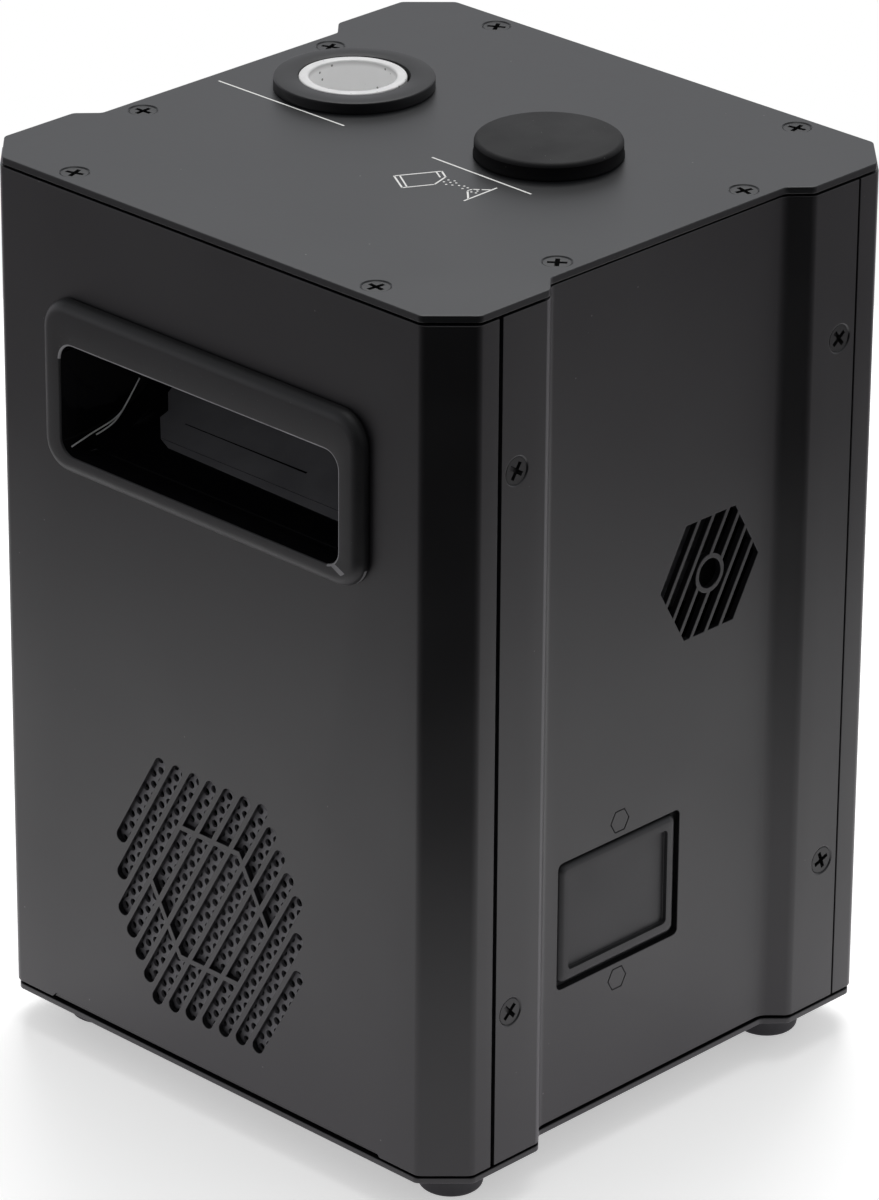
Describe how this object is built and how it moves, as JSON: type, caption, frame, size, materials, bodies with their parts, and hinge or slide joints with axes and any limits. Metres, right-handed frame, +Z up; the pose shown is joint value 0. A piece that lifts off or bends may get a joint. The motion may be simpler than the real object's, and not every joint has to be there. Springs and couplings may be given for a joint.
{
  "type": "cold spark machine",
  "caption": "Small floor-standing cold spark stage effect with a ceramic nozzle, rubber hopper cap, front carrying handle, slanted-slot air intake and card reader window.",
  "frame": {"origin": "centre of the overall footprint, on the surface that the feet stand on", "axes": "+Z up, the front with the carrying handle faces -Y, the side with the card reader faces +X"},
  "size_m": [0.156, 0.1594, 0.2348],
  "materials": {
    "top_coat": "satin dark grey powder coat",
    "side_coat": "satin near-black powder coat",
    "soft_rubber": "matte",
    "gloss_black": "high gloss",
    "moulded_black": "satin",
    "ceramic": "smooth",
    "steel": "brushed",
    "screw_black": "blackened",
    "aluminium": "satin",
    "board": "coated fibreglass",
    "display": "clear over black",
    "key": "satin",
    "brass": "satin"
  },
  "bodies": {
    "casing": {"top_plate": "top_coat", "base_plate": "side_coat", "front_panel": "side_coat", "rear_panel": "side_coat", "right_side_panel": "side_coat", "left_side_panel": "side_coat", "foot_front_left": "soft_rubber", "foot_front_right": "soft_rubber", "foot_rear_right": "soft_rubber", "foot_rear_left": "soft_rubber", "handle_bezel": "soft_rubber", "handle_pocket": "gloss_black", "card_reader_window": "moulded_black", "card_reader_board": "board", "nozzle_flange": "top_coat", "nozzle_tube": "ceramic", "heating_chamber": "steel", "heater_band": "brass", "heat_shield": "aluminium", "powder_hopper": "steel", "feed_tube": "aluminium", "feed_gearmotor": "steel", "blower_housing": "moulded_black", "vent_mesh": "screw_black", "cooling_fan_frame": "moulded_black", "main_board": "board", "power_supply": "board", "display_window": "display", "control_board": "board", "signal_input": "steel", "signal_output": "steel", "mains_inlet": "moulded_black", "rocker_housing": "moulded_black", "top_screw_1": "screw_black", "top_screw_2": "screw_black", "top_screw_3": "screw_black", "top_screw_4": "screw_black", "top_screw_5": "screw_black", "top_screw_6": "screw_black", "top_screw_7": "screw_black", "top_screw_8": "screw_black", "left_side_screw_1": "screw_black", "left_side_screw_2": "screw_black", "left_side_screw_3": "screw_black", "left_side_screw_4": "screw_black", "right_side_screw_1": "screw_black", "right_side_screw_2": "screw_black", "right_side_screw_3": "screw_black", "right_side_screw_4": "screw_black"},
    "cap": {"hopper_cap": "soft_rubber"},
    "feed_screw": {"feed_auger": "steel"},
    "impeller": {"blower_impeller": "moulded_black"},
    "fan_rotor": {"cooling_fan_rotor": "moulded_black"},
    "key_1": {"menu_key_1": "key"},
    "key_2": {"menu_key_2": "key"},
    "key_3": {"menu_key_3": "key"},
    "key_4": {"menu_key_4": "key"},
    "fuse_tray": {"fuse_drawer": "moulded_black"},
    "rocker": {"power_rocker": "moulded_black"}
  },
  "joints": [
    {"name": "cap_lift", "type": "slide", "parent": "casing", "child": "cap", "axis": [0, 0, 1], "range_m": [0, 0.03]},
    {"name": "feed_turn", "type": "hinge", "parent": "casing", "child": "feed_screw", "pos_m": [0, 0.016, 0.1397], "axis": [1, 0, 0], "continuous": true},
    {"name": "impeller_spin", "type": "hinge", "parent": "casing", "child": "impeller", "pos_m": [-0.026, 0.016, 0.04071], "axis": [0, 1, 0], "continuous": true},
    {"name": "fan_spin", "type": "hinge", "parent": "casing", "child": "fan_rotor", "pos_m": [-0.001, -0.0628, 0.0585], "axis": [0, 1, 0], "continuous": true},
    {"name": "key_1_press", "type": "slide", "parent": "casing", "child": "key_1", "axis": [0, -1, 0], "range_m": [0, 0.0008], "stiffness_N_per_m": 400, "springref_m": -0.0002},
    {"name": "key_2_press", "type": "slide", "parent": "casing", "child": "key_2", "axis": [0, -1, 0], "range_m": [0, 0.0008], "stiffness_N_per_m": 400, "springref_m": -0.0002},
    {"name": "key_3_press", "type": "slide", "parent": "casing", "child": "key_3", "axis": [0, -1, 0], "range_m": [0, 0.0008], "stiffness_N_per_m": 400, "springref_m": -0.0002},
    {"name": "key_4_press", "type": "slide", "parent": "casing", "child": "key_4", "axis": [0, -1, 0], "range_m": [0, 0.0008], "stiffness_N_per_m": 400, "springref_m": -0.0002},
    {"name": "fuse_tray_pull", "type": "slide", "parent": "casing", "child": "fuse_tray", "axis": [0, 1, 0], "range_m": [0, 0.018]},
    {"name": "rocker_tilt", "type": "hinge", "parent": "casing", "child": "rocker", "pos_m": [-0.026, 0.0735, 0.05], "axis": [-1, 0, 0], "range_deg": [0, 20]}
  ]
}
